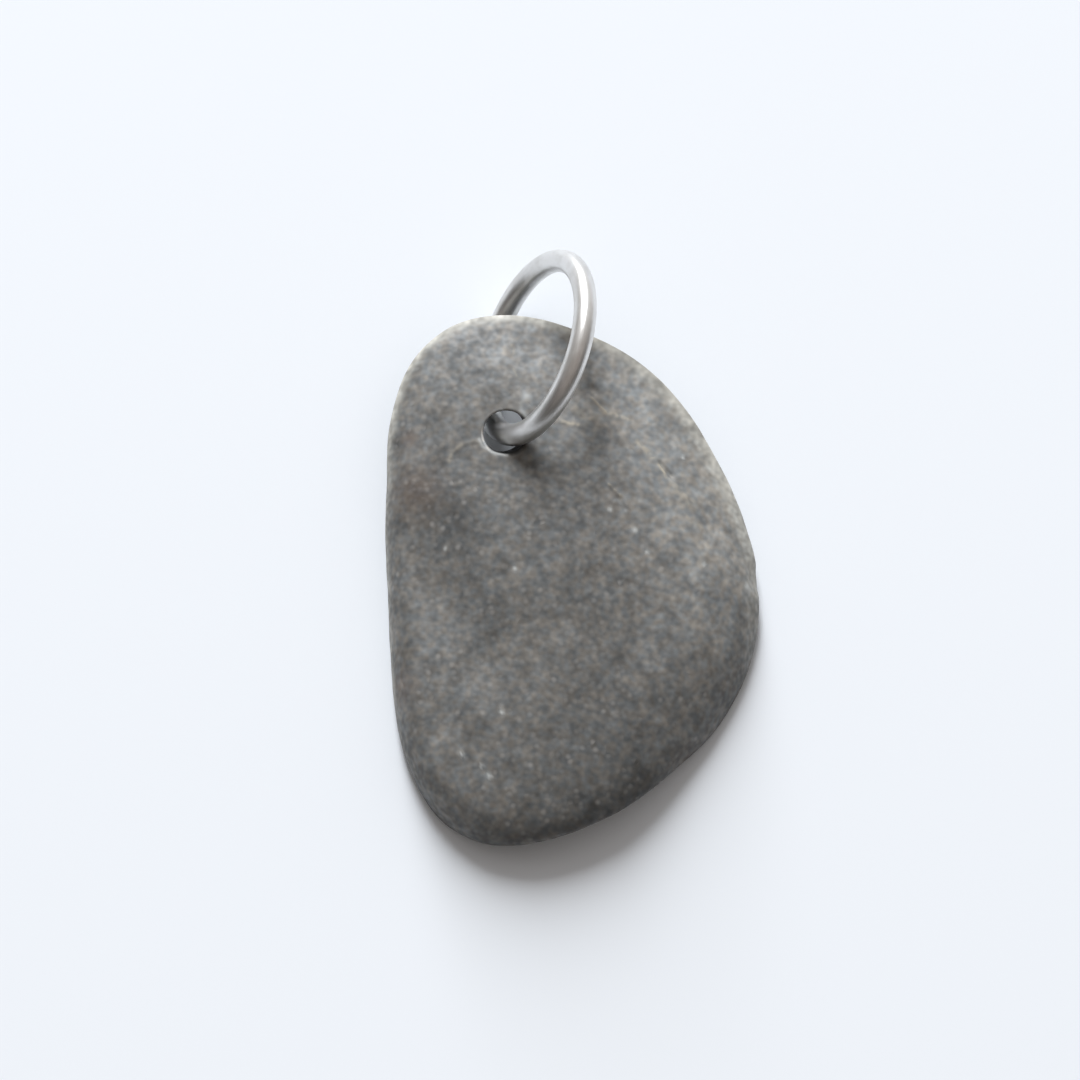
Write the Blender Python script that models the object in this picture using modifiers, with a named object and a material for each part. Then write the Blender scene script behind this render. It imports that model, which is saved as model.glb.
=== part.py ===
"""Drilled river pebble with a steel jump ring through its hole.

The pebble lies on its belly on a table at z = 0. Its narrow end points to +Y and stands
a little off the table, over the ring's wire. Origin: below the middle of the whole part.
"""

import math

import bpy
import numpy as np
from mathutils import Matrix, Vector

MM = 0.001

# Pebble, in millimetres. Its outline is a distance from the middle for each direction in
# degrees, counted from +X towards +Y.
STONE_MIDDLE = (0.017, -2.283)
OUTLINE = (
    (0, 10.33), (20, 10.25), (40, 10.67), (58, 11.8), (75, 13.24), (90, 14.48),
    (103, 15.7), (114, 16.2), (124, 15.6), (136, 13.9), (150, 11.76), (165, 10.62),
    (180, 10.13), (197, 10.46), (212, 11.5), (226, 12.96), (240, 14.38), (251, 14.72),
    (264, 13.98), (280, 12.67), (300, 11.3), (320, 10.77), (340, 10.52),
)
# Width of the rounded rim for each direction: tight on the straight side, broad opposite.
RIM_WIDTH = (
    (0, 5.0), (30, 6.8), (65, 6.4), (95, 5.2), (120, 3.8), (145, 2.4), (180, 1.35),
    (210, 1.6), (235, 1.8), (255, 3.2), (275, 4.4), (300, 5.0), (330, 4.8),
)
RIM_POWER = 2.15  # 2 rounds the rim as part of an ellipse, more makes it blunter
CROWN = 0.07  # share of the thickness that the faces lose from middle to rim
# Height of the rim's middle: low round the belly, rising towards the drilled end
RIM_HEIGHT_LOW = 2.06
RIM_HEIGHT_RISE = 1.36
RISE_START_Y = -5.5
RISE_END_Y = 9.5
SIDE_DROP = 0.009  # the rim and the upper face sink by this times x squared
# How much lower than that the rim lies for each direction: low beside the broad end's tip
RIM_DROP = (
    (0, 0.35), (60, 0.0), (120, 0.0), (180, 0.0), (210, 0.4), (225, 0.8), (240, 1.15),
    (252, 0.4), (264, -0.2), (283, -0.2), (300, 0.5), (315, 1.15), (330, 1.1), (345, 0.7),
)
# Half the thickness: a swell over the belly that thins out towards both ends
HALF_THICKNESS_END = 0.8
HALF_THICKNESS_SWELL = 1.42
THICKEST_Y = -2.0
SWELL_TOWARDS_HOLE = 7.2
SWELL_TOWARDS_TIP = 14.5
STONE_SEGMENTS = 96
STONE_RINGS = 28

# Soft dip in the upper face: start, end, half width and depth
DIP_START = (-8.9, 0.3)
DIP_END = (-5.1, -6.1)
DIP_HALF_WIDTH = 1.9
DIP_DEPTH = 0.30
# Beyond a soft ridge the upper face slopes off: a point on the ridge and the way down
RIDGE_POINT = (1.6, 4.6)
RIDGE_DOWNHILL = (0.61, 0.79)
RIDGE_STEEPNESS = 0.16
RIDGE_HALF_WIDTH = 0.9

# Drilled hole: round at the upper face, leaning and breaking out wider underneath
HOLE_RIM_CENTRE = (-3.58, 6.06, 4.29)
HOLE_RADIUS = 1.2
HOLE_RIM_FLARE = 0.2
HOLE_BREAKOUT_RADIUS = 1.72
# Half section of the cut as (radius, height above the rim), from the axis out and down
HOLE_SECTION = (
    (0.0, 1.5), (HOLE_RADIUS + 2.6 * HOLE_RIM_FLARE, 1.5),
    (HOLE_RADIUS + HOLE_RIM_FLARE, 0.12), (HOLE_RADIUS + 0.25 * HOLE_RIM_FLARE, -0.2),
    (HOLE_RADIUS, -0.5), (HOLE_RADIUS + 0.05, -1.1),
    (HOLE_BREAKOUT_RADIUS, -2.1), (HOLE_BREAKOUT_RADIUS + 0.3, -3.2), (0.0, -3.2),
)
HOLE_LEAN = (-0.27, 0.44)  # sideways move for each millimetre down
HOLE_STEPS = 32

# Jump ring
WIRE_RADIUS = 0.62
RING_INNER_DIAMETER = 8.74
RING_RADIUS = RING_INNER_DIAMETER / 2.0 + WIRE_RADIUS
RING_CENTRE = (-2.0, 10.71, 4.945)
RING_AXIS = (0.8395, -0.1627, -0.5183)
RING_SEGMENTS = 84
WIRE_SEGMENTS = 14
SEAM_GAP = 0.08
SEAM_PAST_LOWEST = 14.0  # degrees round the wire from its lowest point, towards the rim


def clear_scene():
    for item in list(bpy.data.objects):
        bpy.data.objects.remove(item, do_unlink=True)


def new_collection(name):
    group = bpy.data.collections.new(name)
    bpy.context.scene.collection.children.link(group)
    return group


def move_to_collection(item, group):
    for old in list(item.users_collection):
        old.objects.unlink(item)
    group.objects.link(item)


def make_material(name, colour, roughness, metallic):
    material = bpy.data.materials.new(name)
    material.use_nodes = True
    shader = material.node_tree.nodes["Principled BSDF"]
    shader.inputs["Base Color"].default_value = (*colour, 1.0)
    shader.inputs["Roughness"].default_value = roughness
    shader.inputs["Metallic"].default_value = metallic
    return material


def round_value(table, degrees):
    """Smooth value round a closed table of (degrees, value), as a cubic through its points."""
    at = np.array([row[0] for row in table], float)
    value = np.array([row[1] for row in table], float)
    count = len(table)
    slope_span = (np.roll(at, -1) - np.roll(at, 1)) % 360.0
    slope = (np.roll(value, -1) - np.roll(value, 1)) / slope_span
    degrees = np.mod(degrees, 360.0)
    start = (np.searchsorted(at, degrees, side="right") - 1) % count
    end = (start + 1) % count
    span = (at[end] - at[start]) % 360.0
    t = ((degrees - at[start]) % 360.0) / span
    return (
        value[start] * (2 * t**3 - 3 * t**2 + 1)
        + slope[start] * span * (t**3 - 2 * t**2 + t)
        + value[end] * (3 * t**2 - 2 * t**3)
        + slope[end] * span * (t**3 - t**2)
    )


def rim_height(y):
    t = np.clip((y - RISE_START_Y) / (RISE_END_Y - RISE_START_Y), 0.0, 1.0)
    return RIM_HEIGHT_LOW + RIM_HEIGHT_RISE * t * t * (3.0 - 2.0 * t)


def half_thickness(y):
    width = np.where(y > THICKEST_Y, SWELL_TOWARDS_HOLE, SWELL_TOWARDS_TIP)
    return HALF_THICKNESS_END + HALF_THICKNESS_SWELL * np.exp(-((y - THICKEST_Y) / width) ** 2)


def dip_depth(x, y):
    """Depth of the soft dip, a groove with a bell section along a straight line."""
    line = np.subtract(DIP_END, DIP_START)
    along = ((x - DIP_START[0]) * line[0] + (y - DIP_START[1]) * line[1]) / np.dot(line, line)
    along = np.clip(along, 0.0, 1.0)
    across = np.hypot(x - DIP_START[0] - along * line[0], y - DIP_START[1] - along * line[1])
    return DIP_DEPTH * np.exp(-(across / DIP_HALF_WIDTH) ** 2)


def slope_depth(x, y):
    """Depth of the slope: a hyperbola across the ridge, level before it and steady beyond."""
    past = (x - RIDGE_POINT[0]) * RIDGE_DOWNHILL[0] + (y - RIDGE_POINT[1]) * RIDGE_DOWNHILL[1]
    return RIDGE_STEEPNESS * 0.5 * (past + np.sqrt(past**2 + RIDGE_HALF_WIDTH**2))


def stone_points(directions):
    """Points of the pebble's skin for directions from the middle of a unit sphere."""
    x, y, z = directions.T
    around = np.degrees(np.arctan2(y, x))
    latitude = np.arcsin(np.clip(z, -1.0, 1.0)) / (math.pi / 2.0)
    reach = 1.0 - latitude**2
    outer = round_value(OUTLINE, around)
    radius = outer * reach
    across = STONE_MIDDLE[0] + radius * np.cos(np.radians(around))
    along = STONE_MIDDLE[1] + radius * np.sin(np.radians(around))
    inside_rim = (outer - radius) / round_value(RIM_WIDTH, around)
    fullness = np.sqrt(1.0 - np.clip(1.0 - inside_rim, 0.0, 1.0) ** RIM_POWER)
    fullness *= 1.0 - CROWN * reach**2
    side = np.sign(np.round(latitude, 6))
    height = rim_height(along) + side * half_thickness(along) * fullness
    height -= SIDE_DROP * across**2 * np.where(side > 0, 1.0, 1.0 - fullness)
    height -= round_value(RIM_DROP, around) * (1.0 - fullness)
    carved = dip_depth(across, along) + slope_depth(across, along)
    height -= np.where(side > 0, carved * fullness, 0.0)
    return np.column_stack((across, along, np.maximum(height, 0.0)))


def make_stone_body(name):
    bpy.ops.mesh.primitive_uv_sphere_add(
        segments=STONE_SEGMENTS, ring_count=STONE_RINGS, radius=1.0,
    )
    stone = bpy.context.object
    stone.name = name
    count = len(stone.data.vertices)
    flat = np.empty(count * 3)
    stone.data.vertices.foreach_get("co", flat)
    directions = flat.reshape(count, 3)
    directions /= np.linalg.norm(directions, axis=1)[:, None]
    stone.data.vertices.foreach_set("co", (stone_points(directions) * MM).ravel())
    stone.data.update()
    return stone


def make_hole_cutter():
    """A turned bore with a flared upper rim and a wide lower end, leaned over by a shear."""
    mesh = bpy.data.meshes.new("hole_cutter")
    points = [(radius * MM, 0.0, height * MM) for radius, height in HOLE_SECTION]
    mesh.from_pydata(points, [(i, i + 1) for i in range(len(points) - 1)], [])
    cutter = bpy.data.objects.new("hole_cutter", mesh)
    bpy.context.scene.collection.objects.link(cutter)
    screw = cutter.modifiers.new("turn", "SCREW")
    screw.steps = HOLE_STEPS
    screw.render_steps = HOLE_STEPS
    screw.use_merge_vertices = True
    screw.merge_threshold = 0.00001
    lean = Matrix.Identity(4)
    lean[0][2] = -HOLE_LEAN[0]
    lean[1][2] = -HOLE_LEAN[1]
    place = Matrix.Translation(Vector(HOLE_RIM_CENTRE) * MM) @ lean
    depsgraph = bpy.context.evaluated_depsgraph_get()
    turned = bpy.data.meshes.new_from_object(cutter.evaluated_get(depsgraph))
    turned.transform(place)
    cutter.modifiers.clear()
    cutter.data = turned
    cutter.hide_render = True
    cutter.display_type = "WIRE"
    return cutter


def make_pebble(parts, cutters):
    stone = make_stone_body("pebble")
    move_to_collection(stone, parts)
    cutter = make_hole_cutter()
    move_to_collection(cutter, cutters)
    drill = stone.modifiers.new("drilled hole", "BOOLEAN")
    drill.operation = "DIFFERENCE"
    drill.object = cutter
    stone.data.shade_smooth()
    stone.data.materials.append(make_material("dark grey stone", (0.16, 0.155, 0.14), 0.85, 0.0))
    return stone


def ring_placement():
    """Local Z is the ring's axis, local X points to the seam, near the lowest point."""
    axis = Vector(RING_AXIS).normalized()
    lowest = (axis * axis.z - Vector((0.0, 0.0, 1.0))).normalized()
    seam = Matrix.Rotation(math.radians(SEAM_PAST_LOWEST), 3, axis) @ lowest
    across = axis.cross(seam)
    turn = Matrix((seam, across, axis)).transposed().to_4x4()
    return Matrix.Translation(Vector(RING_CENTRE) * MM) @ turn


def make_seam_cutter():
    """A thin blade across the wire, where the hoop was sawn from its coil."""
    bpy.ops.mesh.primitive_cube_add(size=1.0)
    blade = bpy.context.object
    blade.name = "seam_cutter"
    length = 4.0 * WIRE_RADIUS * MM
    blade.data.transform(Matrix.Diagonal((length, SEAM_GAP * MM, length, 1.0)))
    wire_middle = Vector((RING_RADIUS * MM, 0.0, 0.0))
    blade.matrix_world = ring_placement() @ Matrix.Translation(wire_middle)
    blade.hide_render = True
    blade.display_type = "WIRE"
    return blade


def make_jump_ring(parts, cutters):
    bpy.ops.mesh.primitive_torus_add(
        major_segments=RING_SEGMENTS, minor_segments=WIRE_SEGMENTS,
        major_radius=RING_RADIUS * MM, minor_radius=WIRE_RADIUS * MM,
    )
    ring = bpy.context.object
    ring.name = "jump_ring"
    ring.matrix_world = ring_placement()
    move_to_collection(ring, parts)
    blade = make_seam_cutter()
    move_to_collection(blade, cutters)
    cut = ring.modifiers.new("seam", "BOOLEAN")
    cut.operation = "DIFFERENCE"
    cut.object = blade
    ring.data.shade_smooth()
    ring.data.materials.append(make_material("bright steel", (0.62, 0.61, 0.6), 0.25, 1.0))
    return ring


def main():
    clear_scene()
    parts = new_collection("drilled river pebble")
    cutters = new_collection("cutters")
    make_pebble(parts, cutters)
    make_jump_ring(parts, cutters)


main()
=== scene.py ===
import math

import bpy
import numpy as np
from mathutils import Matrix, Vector


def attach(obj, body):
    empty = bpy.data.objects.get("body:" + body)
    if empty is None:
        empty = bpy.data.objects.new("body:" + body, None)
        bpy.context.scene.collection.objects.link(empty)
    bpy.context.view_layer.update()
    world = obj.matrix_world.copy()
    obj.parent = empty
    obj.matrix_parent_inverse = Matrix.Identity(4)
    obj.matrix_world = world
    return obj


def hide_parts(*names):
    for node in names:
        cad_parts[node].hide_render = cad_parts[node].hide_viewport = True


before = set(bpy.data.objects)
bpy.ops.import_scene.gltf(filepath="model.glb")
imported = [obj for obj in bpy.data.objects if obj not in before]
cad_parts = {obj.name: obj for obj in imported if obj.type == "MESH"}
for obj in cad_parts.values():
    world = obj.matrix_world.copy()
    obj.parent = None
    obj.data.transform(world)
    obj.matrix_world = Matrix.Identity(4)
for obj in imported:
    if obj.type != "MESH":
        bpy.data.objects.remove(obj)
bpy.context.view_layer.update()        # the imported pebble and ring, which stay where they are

mm = 0.001               # sizes below are in millimetres, meshes are in metres

print("frame loaded:", sorted(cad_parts))


def smoothStep(low, high, value):
    # 0 below low, 1 above high, and 3t^2 - 2t^3 between them
    t = np.clip((value - low) / (high - low), 0.0, 1.0)
    return t * t * (3.0 - 2.0 * t)


def softRamp(past, ease):
    # 0 well before the start, the distance past it well after, and half of
    # p + sqrt(p^2 + ease) for every distance p past it
    return 0.5 * (past + np.sqrt(past ** 2 + ease))


def latticeNoise(points, size, seed):
    # random values on the corners of cubes of that size, blended inside each cube
    # with the fade 6t^5 - 15t^4 + 10t^3: the result runs from -1 to 1
    cell = points / size
    low = np.floor(cell.min(axis=0)).astype(int)
    corner = np.floor(cell).astype(int)
    part = cell - corner
    fade = part ** 3 * (part * (part * 6.0 - 15.0) + 10.0)
    corner = corner - low
    values = np.random.default_rng(seed).uniform(-1.0, 1.0, corner.max(axis=0) + 2)
    total = np.zeros(len(points))
    for step in np.ndindex(2, 2, 2):
        weight = np.prod(np.where(np.array(step) == 1, fade, 1.0 - fade), axis=1)
        total += weight * values[tuple((corner + step).T)]
    return total


def lineDistance(x, y, path):
    # distance of each point p from a bent line through the path's points: on each straight
    # piece the nearest point lies at the share t of it, t = (p - start).line / line.line
    nearest = np.full(x.shape, np.inf)
    for start, end in zip(path[:-1], path[1:]):
        line = np.subtract(end, start)
        t = ((x - start[0]) * line[0] + (y - start[1]) * line[1]) / np.dot(line, line)
        t = np.clip(t, 0.0, 1.0)
        far = np.hypot(x - start[0] - t * line[0], y - start[1] - t * line[1])
        nearest = np.minimum(far, nearest)
    return nearest


def gridNormals(points):
    # cross product of the steps to the next row and to the next column, on a grid whose
    # rows and columns both close on themselves
    across = np.roll(points, -1, axis=1) - np.roll(points, 1, axis=1)
    along = np.roll(points, -1, axis=0) - np.roll(points, 1, axis=0)
    normal = np.cross(along, across)
    return normal / np.linalg.norm(normal, axis=2, keepdims=True)


def gridFaces(rows, columns, closedRows):
    # one four-sided face between neighbouring rows and columns; columns close on themselves
    last = rows if closedRows else rows - 1
    row = np.arange(last)[:, None]
    column = np.arange(columns)[None, :]
    nextRow = (row + 1) % rows
    nextColumn = (column + 1) % columns
    corners = [row * columns + column, nextRow * columns + column,
               nextRow * columns + nextColumn, row * columns + nextColumn]
    return np.stack(corners, axis=2).reshape(-1, 4)


def addPiece(name, points, faces, body, node):
    mesh = bpy.data.meshes.new(name)
    mesh.from_pydata(points * mm, [], faces)
    mesh.shade_smooth()
    mesh.update()
    piece = bpy.data.objects.new(name, mesh)
    bpy.context.scene.collection.objects.link(piece)
    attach(piece, body)
    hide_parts(node)
    return piece


def addAttribute(piece, name, values):
    layer = piece.data.attributes.new(name, "FLOAT", "POINT")
    layer.data.foreach_set("value", np.ascontiguousarray(values, dtype=np.float32).ravel())


def newMaterial(name):
    material = bpy.data.materials.new(name)
    material.use_nodes = True
    tree = material.node_tree
    return material, tree, tree.nodes["Principled BSDF"]


def addNode(tree, kind, **settings):
    node = tree.nodes.new(kind)
    for key, value in settings.items():
        setattr(node, key, value)
    return node


def patternPlace(tree, turn):
    # object coordinates in millimetres, turned askew so that no pattern lines up with the axes
    place = addNode(tree, "ShaderNodeTexCoord")
    mapping = addNode(tree, "ShaderNodeMapping")
    mapping.inputs["Scale"].default_value = (1.0 / mm, 1.0 / mm, 1.0 / mm)
    mapping.inputs["Rotation"].default_value = turn
    tree.links.new(place.outputs["Object"], mapping.inputs["Vector"])
    return mapping.outputs["Vector"]


def addNoise(tree, place, scale, detail, roughness=0.5):
    noise = addNode(tree, "ShaderNodeTexNoise")
    noise.inputs["Scale"].default_value = scale
    noise.inputs["Detail"].default_value = detail
    noise.inputs["Roughness"].default_value = roughness
    tree.links.new(place, noise.inputs["Vector"])
    return noise.outputs["Fac"]


def addSpecks(tree, place, scale, radius, plain, strongest):
    # round specks, one to a cell, that fade out at the radius: cells whose random value
    # is below the plain share have none, and the rest grow stronger with it
    cells = addNode(tree, "ShaderNodeTexVoronoi")
    cells.inputs["Scale"].default_value = scale
    tree.links.new(place, cells.inputs["Vector"])
    parts = addNode(tree, "ShaderNodeSeparateColor")
    tree.links.new(cells.outputs["Color"], parts.inputs["Color"])
    core = radius * 0.1     # fully pale inside this
    near = mapRange(tree, cells.outputs["Distance"], core, radius, 1.0, 0.0)
    strength = mapRange(tree, parts.outputs["Red"], plain, 1.0, 0.0, strongest)
    return addMath(tree, "MULTIPLY", near, strength)


def mapRange(tree, value, low, high, toLow, toHigh):
    node = addNode(tree, "ShaderNodeMapRange", interpolation_type="SMOOTHSTEP")
    for key, number in (("From Min", low), ("From Max", high), ("To Min", toLow), ("To Max", toHigh)):
        node.inputs[key].default_value = number
    tree.links.new(value, node.inputs["Value"])
    return node.outputs["Result"]


def addMath(tree, operation, first, second, clamp=False):
    node = addNode(tree, "ShaderNodeMath", operation=operation, use_clamp=clamp)
    for socket, value in zip(node.inputs, (first, second)):
        if isinstance(value, (int, float)):
            socket.default_value = value
        else:
            tree.links.new(value, socket)
    return node.outputs["Value"]


def mixColour(tree, share, first, second):
    node = addNode(tree, "ShaderNodeMix", data_type="RGBA")
    for socket, value in ((node.inputs[0], share), (node.inputs[6], first), (node.inputs[7], second)):
        if isinstance(value, (int, float)):
            socket.default_value = value
        elif isinstance(value, tuple):
            socket.default_value = (*value, 1.0)
        else:
            tree.links.new(value, socket)
    return node.outputs[2]


def scaleColour(tree, colour, factor):
    node = addNode(tree, "ShaderNodeVectorMath", operation="SCALE")
    if isinstance(colour, tuple):
        node.inputs[0].default_value = colour
    else:
        tree.links.new(colour, node.inputs[0])
    tree.links.new(factor, node.inputs["Scale"])
    return node.outputs["Vector"]


def readAttribute(tree, name):
    return addNode(tree, "ShaderNodeAttribute", attribute_name=name).outputs["Fac"]


def addBump(tree, shader, height, strength, distance):
    bump = addNode(tree, "ShaderNodeBump")
    bump.inputs["Strength"].default_value = strength
    bump.inputs["Distance"].default_value = distance
    tree.links.new(height, bump.inputs["Height"])
    tree.links.new(bump.outputs["Normal"], shader.inputs["Normal"])


pebble = {
    "middle": (0.017, -2.283),
    # distance from the middle to the edge for each direction in degrees
    "outline": (
        (0, 10.33), (20, 10.25), (40, 10.67), (58, 11.8), (75, 13.24), (90, 14.48),
        (103, 15.7), (114, 16.2), (124, 15.6), (136, 13.9), (150, 11.76), (165, 10.62),
        (180, 10.13), (197, 10.46), (212, 11.5), (226, 12.96), (240, 14.38), (251, 14.72),
        (264, 13.98), (280, 12.67), (300, 11.3), (320, 10.77), (340, 10.52),
    ),
    # width of the rounded rim for each direction
    "rimWidth": (
        (0, 5.0), (30, 6.8), (65, 6.4), (95, 5.2), (120, 3.8), (145, 2.4), (180, 1.35),
        (210, 1.6), (235, 1.8), (255, 3.2), (275, 4.4), (300, 5.0), (330, 4.8),
    ),
    "rimPower": 2.15,        # higher makes the rim blunter
    "crown": 0.07,           # share of the fullness that the faces lose towards the edge
    "sideDrop": 0.009,       # the rim and upper face sink by this times x squared
    # how much lower the rim lies than that, for each direction
    "rimDrop": (
        (0, 0.35), (60, 0.0), (120, 0.0), (180, 0.0), (210, 0.4), (225, 0.8), (240, 1.15),
        (252, 0.4), (264, -0.2), (283, -0.2), (300, 0.5), (315, 1.15), (330, 1.1), (345, 0.7),
    ),
    # height of the rim at the tip, what it gains towards the hole, and where along Y
    "rimHeightLow": 2.06, "rimHeightRise": 1.36, "riseStartY": -5.5, "riseEndY": 9.5,
    # half the thickness far out, what it gains where it is thickest, and how wide the gain is
    "halfThicknessEnd": 0.8, "halfThicknessSwell": 1.42, "thickestY": -2.0,
    "swellTowardsHole": 7.2, "swellTowardsTip": 14.5,
    # soft dips in the upper face: start, end, half width, depth
    "dips": (
        ((-8.9, 0.3), (-5.1, -6.1), 1.9, 0.30),
    ),
    # beyond a soft ridge the face slopes off: a point on the ridge, the way down,
    # steepness and half width of the ridge
    "slope": ((1.6, 4.6), (0.61, 0.79), 0.16, 0.9),
    "columns": 430, "upperRows": 140, "lowerRows": 60, "wallRows": 28,
    "edgeCrowding": 0.12,    # smaller puts more rows close to the edge
    "edgeSamples": 7201,     # places where the outline's length is measured
}

hole = {
    "centre": (-3.58, 6.06),
    "radius": 1.2,
    "flare": 0.2,            # how far the worn upper rim spreads
    "flareDepth": 0.24,
    "lean": (-0.27, 0.44),   # sideways move for each millimetre down
    "breakStart": 1.1,       # depth where the bore starts to break out wider
    "breakSlope": 0.41,
    "breakEase": 0.02,       # larger starts it more gently
    "firstDepth": 2.3,       # a first guess at the bore's depth, and the rounds that mend it
    "depthRounds": 4,
    "wallCrowding": 1.5,     # larger puts more rows close to the upper rim
}


def roundValue(table, degrees):
    # smooth value round a closed table of (degrees, value): a cubic through its points,
    # whose slope at each point is that of the line between its two neighbours
    at = np.array([row[0] for row in table], float)
    value = np.array([row[1] for row in table], float)
    slope = (np.roll(value, -1) - np.roll(value, 1)) / ((np.roll(at, -1) - np.roll(at, 1)) % 360.0)
    degrees = np.mod(degrees, 360.0)
    start = (np.searchsorted(at, degrees, side="right") - 1) % len(table)
    end = (start + 1) % len(table)
    span = (at[end] - at[start]) % 360.0
    t = ((degrees - at[start]) % 360.0) / span
    return (value[start] * (2 * t**3 - 3 * t**2 + 1) + slope[start] * span * (t**3 - 2 * t**2 + t)
            + value[end] * (3 * t**2 - 2 * t**3) + slope[end] * span * (t**3 - t**2))


def skinHeight(x, y, side):
    # height of the skin: the rim's height, plus or minus half the thickness times a
    # fullness that is 0 at the edge and rises as part of a blunt ellipse. The upper face
    # then sinks by bells along the dips and by a soft ramp past the ridge
    dx, dy = x - pebble["middle"][0], y - pebble["middle"][1]
    around = np.degrees(np.arctan2(dy, dx))
    outer = roundValue(pebble["outline"], around)
    radius = np.minimum(np.hypot(dx, dy), outer)
    inside = np.clip((outer - radius) / roundValue(pebble["rimWidth"], around), 0.0, 1.0)
    fullness = np.sqrt(1.0 - (1.0 - inside) ** pebble["rimPower"])
    fullness *= 1.0 - pebble["crown"] * (radius / outer) ** 2
    rise = smoothStep(pebble["riseStartY"], pebble["riseEndY"], y)
    middleHeight = pebble["rimHeightLow"] + pebble["rimHeightRise"] * rise
    middleHeight -= pebble["sideDrop"] * x ** 2 * (1.0 if side > 0 else 1.0 - fullness)
    middleHeight -= roundValue(pebble["rimDrop"], around) * (1.0 - fullness)
    width = np.where(y > pebble["thickestY"], pebble["swellTowardsHole"], pebble["swellTowardsTip"])
    swell = np.exp(-((y - pebble["thickestY"]) / width) ** 2)
    half = pebble["halfThicknessEnd"] + pebble["halfThicknessSwell"] * swell
    height = middleHeight + side * half * fullness
    if side > 0:
        for start, end, width, depth in pebble["dips"]:
            far = lineDistance(x, y, (start, end))
            height -= depth * np.exp(-(far / width) ** 2) * fullness
        start, down, steep, width = pebble["slope"]
        past = (x - start[0]) * down[0] + (y - start[1]) * down[1]
        height -= steep * softRamp(past, width ** 2) * fullness
    return np.maximum(height, 0.0)


def edgePoints(count):
    # points at equal steps along the outline, counted from +X towards +Y
    degrees = np.linspace(0.0, 360.0, pebble["edgeSamples"])
    radius = roundValue(pebble["outline"], degrees)
    x = pebble["middle"][0] + radius * np.cos(np.radians(degrees))
    y = pebble["middle"][1] + radius * np.sin(np.radians(degrees))
    length = np.concatenate(([0.0], np.cumsum(np.hypot(np.diff(x), np.diff(y)))))
    at = np.arange(count) / count * length[-1]
    return np.column_stack((np.interp(at, length, x), np.interp(at, length, y)))


def wallPoints(depth, direction, topHeight):
    # the bore: a circle that leans sideways with depth, wide at its worn rim as a
    # quarter ellipse, then straight, then widening evenly where it broke out
    worn = np.clip(1.0 - depth / hole["flareDepth"], 0.0, 1.0)
    past = depth - hole["breakStart"]
    widening = hole["breakSlope"] * softRamp(past, hole["breakEase"])
    radius = hole["radius"] + hole["flare"] * (1.0 - np.sqrt(1.0 - worn ** 2)) + widening
    x = hole["centre"][0] + hole["lean"][0] * depth + radius * direction[..., 0]
    y = hole["centre"][1] + hole["lean"][1] * depth + radius * direction[..., 1]
    return np.stack((x, y, topHeight - depth), axis=-1)


def pebbleGrid():
    # a closed sheet like a tyre's: columns go round the hole, and rows go out over the
    # upper face, back under the lower face and up the bore. On each face a row lies at
    # the share 1 - f(t) of the way out, f growing as a square near the edge. The bore's
    # depth is found in rounds: each takes the lower skin's height where the last came out
    edge = edgePoints(pebble["columns"])
    direction = edge - hole["centre"]
    direction /= np.linalg.norm(direction, axis=1, keepdims=True)
    rim = wallPoints(np.zeros(len(edge)), direction, np.zeros(len(edge)))[:, :2]
    topHeight = skinHeight(rim[:, 0], rim[:, 1], 1)
    depth = np.full(len(edge), hole["firstDepth"])
    for _ in range(hole["depthRounds"]):
        mouth = wallPoints(depth, direction, topHeight)
        depth = topHeight - skinHeight(mouth[:, 0], mouth[:, 1], -1)

    def faceRows(inner, rows, side):
        t = 1.0 - np.linspace(0.0, 1.0, rows)
        crowd = pebble["edgeCrowding"]
        share = (np.sqrt(1.0 + (t / crowd) ** 2) - 1.0) / (math.sqrt(1.0 + crowd ** -2) - 1.0)
        flat = inner + (edge - inner) * (1.0 - share)[:, None, None]
        height = skinHeight(flat[..., 0], flat[..., 1], side)
        return np.dstack((flat, height))

    upper = faceRows(rim, pebble["upperRows"], 1)
    lower = faceRows(mouth[:, :2], pebble["lowerRows"] + 1, -1)[-2::-1]
    share = np.linspace(1.0, 0.0, pebble["wallRows"] + 2)[1:-1] ** hole["wallCrowding"]
    wall = wallPoints(share[:, None] * depth, direction[None], topHeight)
    return np.concatenate((upper, lower, wall))


# what time and water did to the skin, in millimetres
wear = {
    "swells": (3.4, 0.045, 11),       # size, height and seed of each kind of unevenness
    "waves": (1.25, 0.018, 12),
    "grain": (0.55, 0.005, 13),
    # a thin flake came off: its worn edge stands up along this line
    "flakeEdge": ((-0.5, 6.7), (0.5, 6.5), (1.5, 7.3), (3.1, 6.95), (3.7, 5.6), (4.8, 4.4),
                  (5.6, 3.2), (6.6, 1.9), (7.3, -0.9)),
    "flakeStep": 0.05,
    "flakeWidth": 0.22,
    "flakeBreaks": (0.65, 0.35, 0.7, 15),   # share of the step, its change, and size and seed of it
    "markedTilt": (0.15, 0.6),              # marks fade in between these upward parts of the normal
    "markedRim": (2.2, 1.6),                # but cut the rim too: middle height, half height
    # short scratches and cracks: path, half width, height (below 0 is cut in)
    "marks": (
        (((1.10, 8.75), (1.20, 8.60)), 0.26, -0.16),
        (((4.86, 4.48), (5.45, 3.75)), 0.13, -0.13),
        (((1.05, 8.20), (1.85, 7.33)), 0.09, 0.045),
        (((2.0, 3.14), (2.67, 2.47)), 0.09, 0.035),
        (((2.55, 2.35), (2.9, 1.75)), 0.12, -0.06),
        (((-5.05, 5.5), (-5.45, 5.6), (-6.0, 5.43), (-6.55, 5.04), (-6.7, 4.55)), 0.16, 0.025),
        (((7.6, 1.75), (8.0, 0.95)), 0.22, -0.06),
        (((9.96, -1.2), (10.1, -1.95)), 0.35, -0.16),
    ),
}

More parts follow.
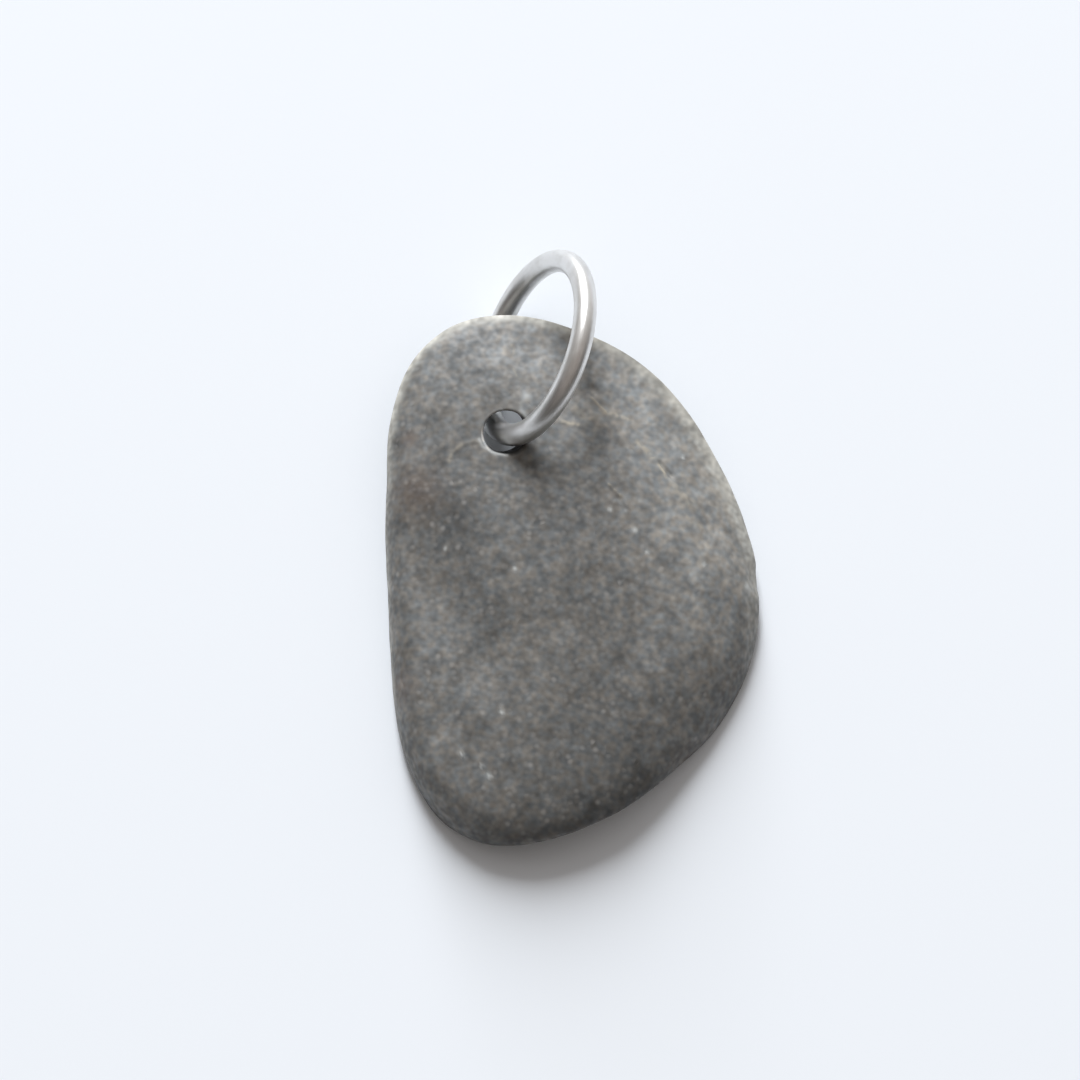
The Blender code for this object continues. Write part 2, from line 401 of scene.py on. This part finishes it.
# colour that follows the stone's history: path, half width, strength
# besides the stains, this holds painted light and shade: on the rim, in the bore and in some of the
# areas
stainsAndPaintedLight = {
    "cream": (
        (((1.05, 8.20), (1.85, 7.33)), 0.08, 0.75),
        (((1.85, 7.28), (3.1, 6.98)), 0.16, 0.6),
        (((-0.5, 6.72), (0.45, 6.5)), 0.12, 0.65),
        (((0.2, 7.6), (0.7, 6.9)), 0.22, 0.3),
        (((4.78, 4.4), (5.2, 3.65)), 0.09, 0.8),
        (((3.6, 5.6), (4.4, 4.8)), 0.14, 0.35),
        (((5.6, 3.2), (6.5, 2.2)), 0.3, 0.35),
        (((2.0, 3.14), (2.67, 2.47)), 0.07, 0.55),
        (((6.2, 1.5), (6.7, 1.0)), 0.12, 0.35),
        (((-5.05, 5.5), (-5.45, 5.6), (-6.0, 5.43), (-6.55, 5.04), (-6.7, 4.5)), 0.12, 0.36),
        (((-3.25, 11.2), (-3.15, 10.6)), 0.09, 0.45),
        (((-3.2, 9.75), (-2.9, 9.2)), 0.08, 0.35),
    ),
    # where the ring rubbed the stone pale; the first, below the hole's lower left, is partly worn and
    # partly a painted highlight where the rim faces the light
    "scuffsAndRimHighlight": (
        (((-5.06, 5.72), (-4.86, 5.32), (-4.36, 5.02), (-3.55, 4.86)), 0.1, 0.45),
        (((-2.5, 8.22), (-2.8, 7.77), (-2.77, 7.38), (-2.55, 7.05)), 0.14, 0.2),
        (((-2.55, 8.25), (-2.35, 8.1)), 0.2, 0.22),
    ),
    # pale flecks: x, y, radius
    "flecks": (
        (-3.8, -9.37, 0.12), (-5.98, -11.6, 0.12), (-4.46, -12.83, 0.14), (-4.89, -12.27, 0.09),
        (2.07, 1.69, 0.12), (3.43, 0.57, 0.15), (4.08, -0.66, 0.1), (9.6, -2.1, 0.16),
        (-6.9, -0.35, 0.1), (-3.1, -1.6, 0.1), (7.2, -1.2, 0.1), (6.1, 4.9, 0.1),
    ),
    # broad darker and lighter areas: x, y, radius, change of tone. They are partly the stone's own
    # tone and partly painted light and shade
    "toneLightAndShadeAreas": (
        (-7.6, 2.6, 1.8, -0.30), (-6.0, 0.8, 1.5, -0.28), (-3.8, -6.6, 1.6, -0.08),
        (-6.0, 1.8, 1.1, -0.16), (-8.7, 3.4, 1.1, -0.10), (7.9, 1.2, 0.7, -0.10),
        (-0.4, -13.0, 3.2, -0.14), (3.6, -9.6, 3.0, -0.10), (4.4, -14.0, 1.5, -0.22),
        (-9.0, -4.6, 1.6, 0.14), (-7.6, -3.0, 1.7, 0.18), (-7.3, -12.6, 2.2, 0.22),
        (-4.8, -15.0, 1.1, 0.24), (-7.0, -14.5, 1.4, 0.46),
        # the strongest lightenings at the upper right and right side are painted light where the
        # slopes face the light
        (2.6, 9.4, 2.6, 0.52), (4.4, 7.4, 2.6, 0.46), (1.5, 7.2, 1.2, 0.30),
        (6.0, 4.4, 3.0, 0.44), (7.8, 2.0, 2.4, 0.50), (8.2, -1.4, 2.4, 0.58),
        (3.4, 0.6, 2.6, 0.14), (2.6, -1.6, 1.3, 0.22), (5.2, -2.4, 1.9, 0.30),
        (8.2, -5.4, 2.2, 0.56), (5.4, -10.2, 1.6, 0.22), (7.8, -10.0, 1.4, 0.42),
        (4.8, -5.6, 1.8, 0.28), (-7.2, -8.6, 1.4, 0.12), (6.4, -8.6, 1.2, 0.16),
        (-0.4, -1.2, 2.0, 0.18), (2.6, 4.5, 1.4, 0.12), (4.8, 1.4, 1.6, 0.12),
        (1.6, -13.4, 1.2, -0.07),
        # the second is painted light on the upper left rim, which faces the light, and the third is
        # painted shade above the hole
        (-9.0, -10.9, 1.2, 0.28), (-7.6, 10.8, 1.0, 0.40), (-3.9, 7.9, 0.9, -0.28),
        # a painted shadow of the ring beside the hole, then painted light where the ring's shadow
        # falls left of the ring at the top edge, and painted light in the pit
        (-1.8, 5.2, 0.6, -0.30), (-0.75, 11.6, 0.6, 0.20), (1.4, 8.8, 0.6, 0.15),
        # the first two are painted light on the top end, which slopes towards the light
        (-2.6, 11.4, 3.0, 0.40), (-3.3, 10.7, 1.4, 0.20), (-8.2, 8.2, 1.2, 0.14),
        # the first two are painted light where the ring's shadow falls below the hole
        (-1.6, 3.3, 0.8, 0.26), (-0.6, 3.2, 1.0, 0.12), (-3.9, -5.2, 1.2, 0.10),
    ),
    # the painted light and shade in the areas fades in the same way
    "stainedTilt": (0.0, 0.5),       # stains fade in between these upward parts of the normal
    "fleckStrength": 0.8,
    # cream left along the flake's edge: strength and half width, then the noise that
    # breaks it up: size, seed, and the values between which it comes in
    "flakeCream": (0.3, 0.2),
    "flakeCreamBreaks": (0.5, 21, -0.2, 0.6),
    # the bore is painted with shade but for a painted glint, a crescent on its upper wall: direction,
    # half width, tone, each with the shares of the way up between which it fades or comes in
    "boreTone": -0.85,
    "boreFade": (0.75, 0.75, 1.0),   # how much of it is lost, from where to where
    "boreGlint": (197.0, 30.0, 2.8),
    "boreGlintRise": (0.35, 0.75),
    # the rim at the broad end faces away from the light and is painted with shade: width and change of
    # tone, then from where to where it comes in along -Y, and how far X shifts that
    "shadedRim": (1.3, -0.32),
    "shadedRimPlace": (6.0, 12.0, 0.4),
    # the rim is partly worn pale and partly painted with sheen where it faces the light: width, what
    # it gains and where along X, then the same along Y
    "wornEdgeAndSheenWidth": (0.42, 0.3, -1.0, 6.0),
    "wornEdgeAndSheenPlace": (-6.0, 7.0, 0.3),
    # a finer painted highlight down the left edge: strength, width, and where along -X and along Y
    "leftEdgeHighlight": (0.55, 0.17),
    "leftEdgeHighlightX": (6.0, 8.5),
    "leftEdgeHighlightY": (-13.0, -6.0),
    # faint rust: x, y, radius, strength
    "rust": (
        (7.0, -12.3, 1.1, 0.35), (-9.5, -7.8, 0.9, 0.22), (-8.9, 5.9, 0.5, 0.25),
        (-8.5, 3.0, 1.4, 0.2),
    ),
}


def bellLines(x, y, marks):
    # sum of bells: each falls off as exp(-(distance / half width)^2) from its line
    total = np.zeros_like(x)
    for path, width, height in marks:
        far = lineDistance(x, y, path)
        total += height * np.exp(-(far / width) ** 2)
    return total


def bellSpots(x, y, spots):
    # sum of round bells at (x, y) with a radius and a height
    total = np.zeros_like(x)
    for spotX, spotY, radius, height in spots:
        total += height * np.exp(-((x - spotX) ** 2 + (y - spotY) ** 2) / radius ** 2)
    return total


def wornSkin(points, normals):
    # moves each point along its normal by noise of three sizes, and by the flake's edge
    # and the marks on the upper side
    flat = points.reshape(-1, 3)
    x, y, z = flat.T
    upper = smoothStep(*wear["markedTilt"], normals.reshape(-1, 3)[:, 2])
    moved = sum(height * latticeNoise(flat, size, seed)
                for size, height, seed in (wear["swells"], wear["waves"], wear["grain"]))
    far = lineDistance(x, y, wear["flakeEdge"])
    share, change, size, seed = wear["flakeBreaks"]
    broken = share + change * latticeNoise(flat, size, seed)
    moved += upper * broken * wear["flakeStep"] * np.exp(-(far / wear["flakeWidth"]) ** 2)
    rimMiddle, rimReach = wear["markedRim"]
    side = np.where(np.abs(z - rimMiddle) < rimReach, 1.0, upper)
    moved += side * bellLines(x, y, wear["marks"])
    result = flat + moved[:, None] * normals.reshape(-1, 3)
    result[:, 2] = np.where(z <= 0.0, 0.0, np.maximum(result[:, 2], 0.0))
    return result


def boreTones():
    # change of tone on the bore's rows, deepest first: painted shade that fades out at the worn rim,
    # and the painted glint, a bell of direction times a rise towards the rim
    edge = edgePoints(pebble["columns"]) - hole["centre"]
    at, width, lift = stainsAndPaintedLight["boreGlint"]
    lost, fadeStart, fadeEnd = stainsAndPaintedLight["boreFade"]
    turned = np.degrees(np.arctan2(edge[:, 1], edge[:, 0])) % 360.0 - at
    upwards = np.linspace(0.0, 1.0, pebble["wallRows"])[:, None]
    dark = stainsAndPaintedLight["boreTone"] * (1.0 - lost * smoothStep(fadeStart, fadeEnd, upwards))
    glint = lift * smoothStep(*stainsAndPaintedLight["boreGlintRise"], upwards) * np.exp(-(turned / width) ** 2)
    return (dark + glint).ravel()


def addStainsAndPaintedLight(piece, flat, normals):
    # one value for each point and each kind of stain and of painted light and shade; tone is how many
    # times as bright as the plain stone it is, painted light and shade included, the others are shares
    # of their own colour
    x, y = flat[:, :2].T
    upper = smoothStep(*stainsAndPaintedLight["stainedTilt"], normals.reshape(-1, 3)[:, 2])
    strength, width = stainsAndPaintedLight["flakeCream"]
    size, seed, low, high = stainsAndPaintedLight["flakeCreamBreaks"]
    broken = smoothStep(low, high, latticeNoise(flat, size, seed))
    far = lineDistance(x, y, wear["flakeEdge"])
    cream = bellLines(x, y, stainsAndPaintedLight["cream"]) + strength * np.exp(-(far / width) ** 2) * broken
    flecks = bellSpots(x, y, [(*spot, stainsAndPaintedLight["fleckStrength"]) for spot in stainsAndPaintedLight["flecks"]])
    # the scuffs include a crescent below the hole that is partly worn and partly a painted highlight
    flecks += bellLines(x, y, stainsAndPaintedLight["scuffsAndRimHighlight"])

    dx, dy = x - pebble["middle"][0], y - pebble["middle"][1]
    outer = roundValue(pebble["outline"], np.degrees(np.arctan2(dy, dx)))
    inside = outer - np.hypot(dx, dy)
    # painted shade on the rim at the broad end, which faces away from the light
    width, change = stainsAndPaintedLight["shadedRim"]
    start, end, shift = stainsAndPaintedLight["shadedRimPlace"]
    # the areas are partly the stone's own tone and partly painted light and shade
    tone = upper * bellSpots(x, y, stainsAndPaintedLight["toneLightAndShadeAreas"])
    tone += change * np.exp(-(inside / width) ** 2) * smoothStep(start, end, -y + shift * x)
    # the bore gets painted shade and a painted glint
    tone[-pebble["wallRows"] * pebble["columns"]:] = boreTones()

    # the rim's pale band: partly wear, partly a painted sheen on the side that faces the light
    width, gain, start, end = stainsAndPaintedLight["wornEdgeAndSheenWidth"]
    width = width + gain * smoothStep(start, end, x)
    start, end, shift = stainsAndPaintedLight["wornEdgeAndSheenPlace"]
    wornEdgeAndSheen = np.exp(-(inside / width) ** 2) * smoothStep(start, end, y + shift * x)
    # a painted highlight down the left edge
    strength, width = stainsAndPaintedLight["leftEdgeHighlight"]
    leftEdgeHighlight = strength * np.exp(-(inside / width) ** 2)
    leftEdgeHighlight *= smoothStep(*stainsAndPaintedLight["leftEdgeHighlightX"], -x) * smoothStep(*stainsAndPaintedLight["leftEdgeHighlightY"], y)

    addAttribute(piece, "cream", np.clip(cream * upper, 0.0, 1.0))
    addAttribute(piece, "flecks", np.clip(flecks * upper, 0.0, 1.0))
    addAttribute(piece, "tone", 1.0 + tone)
    addAttribute(piece, "rust", np.clip(bellSpots(x, y, stainsAndPaintedLight["rust"]), 0.0, 1.0))
    addAttribute(piece, "wornEdgeAndSheen", np.maximum(wornEdgeAndSheen, leftEdgeHighlight))


def buildPebble():
    grid = pebbleGrid()
    normals = gridNormals(grid)
    points = wornSkin(grid, normals)
    faces = gridFaces(grid.shape[0], grid.shape[1], True)
    piece = addPiece("riverPebble", points, faces, "stone", "pebble")
    addStainsAndPaintedLight(piece, grid.reshape(-1, 3), normals)
    piece.data.materials.append(stoneMaterial())
    print("pebble:", len(piece.data.polygons) * 2, "triangles")


stoneColours = {
    "blueGrey": (0.110, 0.118, 0.121),
    "brownGrey": (0.136, 0.127, 0.113),
    "paleGrain": (0.30, 0.29, 0.275),
    "cream": (0.36, 0.325, 0.26),
    "fleck": (0.52, 0.54, 0.53),
    "rust": (0.20, 0.125, 0.085),
    # pale rim, partly worn and partly painted sheen where it faces the light
    "wornEdgeAndSheen": (0.45, 0.44, 0.395),
}

stoneLook = {
    "turn": (0.62, 0.71, 0.35),             # radians that the patterns are turned by
    # slow and quick change between the two greys: patterns per millimetre and detail, then
    # the noise's range and the share of brown it stands for
    "drift": (0.45, 2.0), "driftShare": (0.35, 0.65, 0.38, 0.62),
    "tint": (2.6, 0.5), "tintShare": (0.25, 0.75, -0.45, 0.45),
    # how far the rim's wear and painted sheen cover the colour
    "wornEdgeAndSheenShare": 0.85,
    "creamBreaks": (0.3, 0.6, 0.35, 1.0),   # the finest grain's range, and the cream's share
    "roughness": (1.2, 1.8, 0.62, 0.53),    # the grains' sum, and the roughness it gives
    "bumpStrength": 0.5,
    "bumpDistance": 0.00003,
}

# each kind of grain: patterns per millimetre, detail, and how strongly it lightens and darkens
stoneGrain = ((0.85, 1.0, 1.05), (1.8, 0.3, 0.82), (3.4, 0.0, 0.66))

# each kind of pale crystal: cells per millimetre, radius in cells, share of the cells
# without one, and how pale the strongest is
stoneSpecks = ((2.7, 0.62, 0.2, 0.24), (1.9, 0.42, 0.53, 0.5))


def stoneMaterial():
    # grey between bluish and brownish, times its tone, painted light and shade included, and times 1 +
    # strength (grain - 0.5) for each grain, then pale crystals, the stains and the rim's wear and
    # painted sheen; the fine bump follows the same grains
    material, tree, shader = newMaterial("fine grained river stone")
    place = patternPlace(tree, stoneLook["turn"])
    drift = mapRange(tree, addNoise(tree, place, *stoneLook["drift"]), *stoneLook["driftShare"])
    tint = mapRange(tree, addNoise(tree, place, *stoneLook["tint"]), *stoneLook["tintShare"])
    tint = addMath(tree, "ADD", drift, tint, clamp=True)
    colour = mixColour(tree, tint, stoneColours["blueGrey"], stoneColours["brownGrey"])
    grains = 1.0
    height = 0.0
    for scale, detail, strength in stoneGrain:
        grain = addNoise(tree, place, scale, detail)
        lift = addMath(tree, "MULTIPLY", addMath(tree, "SUBTRACT", grain, 0.5), strength)
        grains = addMath(tree, "MULTIPLY", addMath(tree, "ADD", lift, 1.0), grains)
        height = addMath(tree, "ADD", grain, height)
    # tone carries painted light and shade as well as the stone's own tone
    bright = addMath(tree, "MULTIPLY", readAttribute(tree, "tone"), grains)
    colour = scaleColour(tree, colour, bright)
    wornEdgeAndSheenColour = scaleColour(tree, stoneColours["wornEdgeAndSheen"], grains)
    for kind in stoneSpecks:
        colour = mixColour(tree, addSpecks(tree, place, *kind), colour, stoneColours["paleGrain"])
    colour = mixColour(tree, readAttribute(tree, "rust"), colour, stoneColours["rust"])
    # the rim's pale band: partly wear, partly painted sheen where it faces the light
    edgeShare = addMath(tree, "MULTIPLY", readAttribute(tree, "wornEdgeAndSheen"), stoneLook["wornEdgeAndSheenShare"])
    colour = mixColour(tree, edgeShare, colour, wornEdgeAndSheenColour)
    breakUp = mapRange(tree, grain, *stoneLook["creamBreaks"])
    creamShare = addMath(tree, "MULTIPLY", readAttribute(tree, "cream"), breakUp)
    colour = mixColour(tree, creamShare, colour, stoneColours["cream"])
    colour = mixColour(tree, readAttribute(tree, "flecks"), colour, stoneColours["fleck"])
    tree.links.new(colour, shader.inputs["Base Color"])
    roughness = mapRange(tree, height, *stoneLook["roughness"])
    tree.links.new(roughness, shader.inputs["Roughness"])
    addBump(tree, shader, height, stoneLook["bumpStrength"], stoneLook["bumpDistance"])
    return material


jumpRing = {
    "centre": (-2.0, 10.71, 4.945),
    "axis": (0.8395, -0.1627, -0.5183),
    "radius": 4.99,          # to the middle of the wire
    "wire": 0.62,            # half the wire's thickness
    "seamGap": 0.08,
    "seamPastLowest": 14.0,  # degrees round the hoop
    "cutRound": 0.06,        # rounding of the sheared ends
    "cutSteps": 5,
    "steps": 420,
    "sides": 48,
}


def ringAxes():
    # Z is the hoop's axis, X points from its centre to the seam
    axis = Vector(jumpRing["axis"]).normalized()
    lowest = (axis * axis.z - Vector((0.0, 0.0, 1.0))).normalized()
    turn = math.radians(jumpRing["seamPastLowest"])
    seam = lowest * math.cos(turn) + axis.cross(lowest) * math.sin(turn)
    return np.array(seam), np.array(axis.cross(seam)), np.array(axis)


def buildRing():
    # a circle carried round a circle, open by the seam: the centre line is
    # C + R (cos a X + sin a Y), and the wire adds r (cos b outwards + sin b Z).
    # At the two cut ends r shrinks as a quarter circle, then each end closes flat
    axisX, axisY, axisZ = ringAxes()
    radius, wire, cut = jumpRing["radius"], jumpRing["wire"], jumpRing["cutRound"]
    halfGap = jumpRing["seamGap"] / 2.0 / radius
    along = np.linspace(halfGap, 2.0 * math.pi - halfGap, jumpRing["steps"])
    bend = np.linspace(0.0, 1.0, jumpRing["cutSteps"] + 1)[:-1] * math.pi / 2.0
    startAngles = halfGap + cut / radius * (1.0 - np.sin(bend))[::-1]
    inner = along[(along > startAngles.max()) & (along < 2.0 * math.pi - startAngles.max())]
    a = np.concatenate((np.sort(startAngles), inner, np.sort(2.0 * math.pi - startAngles)))
    fromEnd = np.minimum(a, 2.0 * math.pi - a) - halfGap
    left = np.clip(1.0 - fromEnd * radius / cut, 0.0, 1.0)
    size = wire - cut * (1.0 - np.sqrt(1.0 - left ** 2))
    b = np.arange(jumpRing["sides"]) / jumpRing["sides"] * 2.0 * math.pi
    outward = np.cos(a)[:, None] * axisX + np.sin(a)[:, None] * axisY
    grid = (np.array(jumpRing["centre"]) + radius * outward[:, None, :]
            + (size[:, None] * np.cos(b))[..., None] * outward[:, None, :]
            + (size[:, None] * np.sin(b))[..., None] * axisZ)
    rows, sides = grid.shape[:2]
    faces = gridFaces(rows, sides, False).tolist()
    caps = np.array([grid[0].mean(axis=0), grid[-1].mean(axis=0)])
    points = np.vstack((grid.reshape(-1, 3), caps))
    first, last = rows * sides, rows * sides + 1
    offset = (rows - 1) * sides
    faces += [[first, (i + 1) % sides, i] for i in range(sides)]
    faces += [[last, offset + i, offset + (i + 1) % sides] for i in range(sides)]
    faces = [face[::-1] for face in faces]
    piece = addPiece("jumpRing", points, faces, "ring", "jump_ring")
    lengthwise = np.repeat(a * radius, sides)
    wirePlace = np.column_stack((np.tile(np.cos(b), rows), np.tile(np.sin(b), rows), lengthwise))
    wirePlace = np.vstack((wirePlace, [[0.0, 0.0, 0.0]] * 2))
    layer = piece.data.attributes.new("wirePlace", "FLOAT_VECTOR", "POINT")
    layer.data.foreach_set("vector", wirePlace.astype(np.float32).ravel())
    piece.data.materials.append(steelMaterial())
    print("ring:", len(piece.data.polygons) * 2, "triangles")


steelLook = {
    "darker": (0.66, 0.65, 0.63),
    "brighter": (0.78, 0.775, 0.765),
    "cloud": (0.7, 3.0, 0.55),            # patterns per millimetre, detail, roughness
    "cloudShare": (0.35, 0.65, 0.0, 1.0),  # the noise's range, and the share of brighter steel
    "lines": (7.0, 4.0, 0.6),
    "lineStretch": (1.0, 1.0, 0.12),      # the last is along the wire
    "roughness": (0.3, 0.7, 0.31, 0.39),
    "bumpStrength": 0.25,
    "bumpDistance": 0.00003,
}


def steelMaterial():
    # metal between two brightnesses, with fine lines along the wire that change its
    # roughness and its bump; wirePlace is the place on the wire's section and along it
    material, tree, shader = newMaterial("drawn steel wire")
    place = addNode(tree, "ShaderNodeAttribute", attribute_name="wirePlace").outputs["Vector"]
    stretch = addNode(tree, "ShaderNodeMapping")
    stretch.inputs["Scale"].default_value = steelLook["lineStretch"]
    tree.links.new(place, stretch.inputs["Vector"])
    lines = addNoise(tree, stretch.outputs["Vector"], *steelLook["lines"])
    cloud = mapRange(tree, addNoise(tree, place, *steelLook["cloud"]), *steelLook["cloudShare"])
    colour = mixColour(tree, cloud, steelLook["darker"], steelLook["brighter"])
    tree.links.new(colour, shader.inputs["Base Color"])
    shader.inputs["Metallic"].default_value = 1.0
    tree.links.new(mapRange(tree, lines, *steelLook["roughness"]), shader.inputs["Roughness"])
    addBump(tree, shader, lines, steelLook["bumpStrength"], steelLook["bumpDistance"])
    return material


studio = {
    "floorSize": 1.2,                      # metres
    "floorColour": (0.80, 0.835, 0.875),
    "floorRoughness": 0.95,
    "floorShine": 0.1,
    "windowElevation": 31.4,               # degrees above the floor, seen from the stone
    "windowTurn": 9.0,                     # degrees to the left of +Y
    "windowDistance": 1.6,                 # metres, as is its size
    "windowSize": (0.384, 1.44),
    "windowPower": 42.2,                   # watts
    "windowColour": (0.945, 0.968, 1.0),
    "roomBack": (0.085, 0.079, 0.074),     # the room's light low down towards -Y,
    "roomAbove": (0.35, 0.314, 0.29),      # high up on that side
    "roomFront": (0.56, 0.545, 0.535),     # and towards +Y
    "roomRise": (0.25, 0.95),              # from where to where along Z it changes
    "roomTurn": (-0.25, 0.5),              # and along Y
    "sideFade": (0.85, 1.15),              # share of the room's light from -X and from +X
}

camera = {
    "target": (-1.738, 0.567, 2.0),        # millimetres
    "elevation": 77.0,
    "distance": 247.0,
    "pixelsPerMm": 18.2,                   # at the target, in a picture of this width
    "pictureWidth": 1080.0,
    "sensorWidth": 36.0,
    "nearest": 10.0,                       # nothing closer than this is shown
}


def buildFloor():
    half = studio["floorSize"] / 2.0
    mesh = bpy.data.meshes.new("floor")
    corners = [(-half, -half, 0.0), (half, -half, 0.0), (half, half, 0.0), (-half, half, 0.0)]
    mesh.from_pydata(corners, [], [(0, 1, 2, 3)])
    floor = bpy.data.objects.new("floor", mesh)
    bpy.context.scene.collection.objects.link(floor)
    material, _, shader = newMaterial("pale floor")
    shader.inputs["Base Color"].default_value = (*studio["floorColour"], 1.0)
    shader.inputs["Roughness"].default_value = studio["floorRoughness"]
    shader.inputs["Specular IOR Level"].default_value = studio["floorShine"]
    mesh.materials.append(material)


def buildLight():
    elevation = math.radians(studio["windowElevation"])
    turn = math.radians(studio["windowTurn"])
    towards = Vector((-math.sin(turn) * math.cos(elevation),
                      math.cos(turn) * math.cos(elevation), math.sin(elevation)))
    data = bpy.data.lights.new("window", "AREA")
    data.shape = "RECTANGLE"
    data.size, data.size_y = studio["windowSize"]
    data.energy = studio["windowPower"]
    data.color = studio["windowColour"]
    light = bpy.data.objects.new("window", data)
    light.location = towards * studio["windowDistance"]
    light.rotation_euler = towards.to_track_quat("Z", "Y").to_euler()
    bpy.context.scene.collection.objects.link(light)
    world = bpy.data.worlds.new("room")
    world.use_nodes = True
    tree = world.node_tree
    background = tree.nodes["Background"]
    place = addNode(tree, "ShaderNodeTexCoord")
    parts = addNode(tree, "ShaderNodeSeparateXYZ")
    tree.links.new(place.outputs["Generated"], parts.inputs["Vector"])
    raised = mapRange(tree, parts.outputs["Z"], *studio["roomRise"], 0.0, 1.0)
    colour = mixColour(tree, raised, studio["roomBack"], studio["roomAbove"])
    turned = mapRange(tree, parts.outputs["Y"], *studio["roomTurn"], 0.0, 1.0)
    colour = mixColour(tree, turned, colour, studio["roomFront"])
    tree.links.new(colour, background.inputs["Color"])
    sides = mapRange(tree, parts.outputs["X"], -1.0, 1.0, *studio["sideFade"])
    tree.links.new(sides, background.inputs["Strength"])
    bpy.context.scene.world = world


def buildCamera():
    target = Vector(camera["target"]) * mm
    elevation = math.radians(camera["elevation"])
    back = Vector((0.0, -math.cos(elevation), math.sin(elevation)))
    data = bpy.data.cameras.new("camera")
    data.sensor_width = camera["sensorWidth"]
    share = camera["pixelsPerMm"] * camera["distance"] / camera["pictureWidth"]
    data.lens = camera["sensorWidth"] * share
    data.clip_start = camera["nearest"] * mm
    item = bpy.data.objects.new("camera", data)
    item.location = target + back * camera["distance"] * mm
    item.rotation_euler = back.to_track_quat("Z", "Y").to_euler()
    bpy.context.scene.collection.objects.link(item)
    bpy.context.scene.camera = item
    bpy.context.scene.view_settings.view_transform = "Standard"


buildPebble()
buildRing()
buildFloor()
buildLight()
buildCamera()
print("floor, light and camera are in place")
